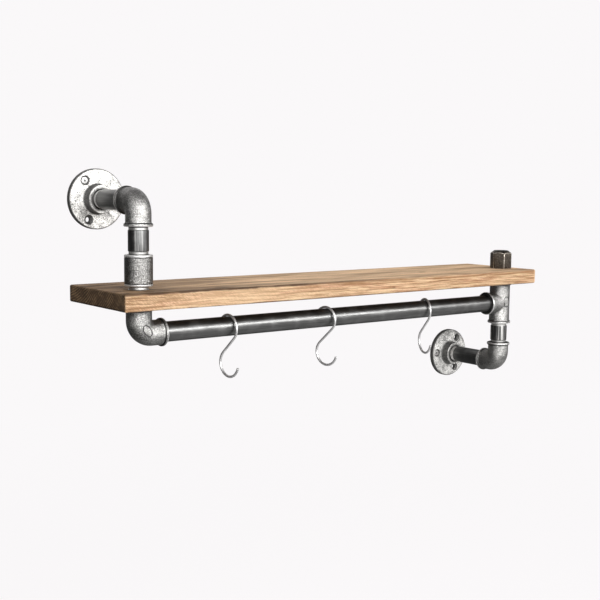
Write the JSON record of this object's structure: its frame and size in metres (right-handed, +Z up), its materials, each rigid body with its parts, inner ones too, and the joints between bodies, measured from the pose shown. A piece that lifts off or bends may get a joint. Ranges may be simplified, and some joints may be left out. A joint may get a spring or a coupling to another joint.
{
  "type": "pipe shelf with hanging rail",
  "caption": "Wall shelf of screwed steel pipe and iron fittings: a pine board between two pipe legs, with a hanging rail and S-hooks below it.",
  "frame": {"origin": "centre of the back of the upper wall flange, on the wall", "axes": "+X along the shelf towards the lower flange, +Y into the wall, +Z up"},
  "size_m": [0.7715, 0.167, 0.3525],
  "materials": {
    "pipe": "raw black steel pipe, clear waxed, satin",
    "fitting": "raw malleable iron, shot blasted, clear waxed, satin",
    "flange": "raw malleable iron, shot blasted and brushed bright",
    "cap": "black iron with a brown wax, satin",
    "hook": "bright drawn steel wire",
    "board": "reclaimed pine, waxed, satin, with dark worn edges"
  },
  "bodies": {
    "root": {"upper_wall_flange": "flange", "upper_wall_nipple": "pipe", "upper_elbow": "fitting", "upper_drop_nipple": "pipe", "board_socket": "fitting", "left_board_nipple": "pipe", "left_rail_elbow": "fitting", "rail_pipe": "pipe", "shelf_board": "board", "hex_cap": "cap", "right_board_nipple": "pipe", "rail_tee": "fitting", "lower_drop_nipple": "pipe", "lower_elbow": "fitting", "lower_wall_nipple": "pipe", "lower_wall_flange": "flange"},
    "hook_left": {"s_hook_left": "hook"},
    "hook_middle": {"s_hook_middle": "hook"},
    "hook_right": {"s_hook_right": "hook"}
  },
  "joints": [
    {"name": "s_hook_left_swing", "type": "hinge", "parent": "root", "child": "hook_left", "pos_m": [0.1374, -0.12, -0.1705], "axis": [1, 0, 0], "range_deg": [-65, 65]},
    {"name": "s_hook_middle_swing", "type": "hinge", "parent": "root", "child": "hook_middle", "pos_m": [0.3085, -0.12, -0.1705], "axis": [1, 0, 0], "range_deg": [-65, 65]},
    {"name": "s_hook_right_swing", "type": "hinge", "parent": "root", "child": "hook_right", "pos_m": [0.5104, -0.12, -0.1705], "axis": [1, 0, 0], "range_deg": [-65, 65]}
  ]
}
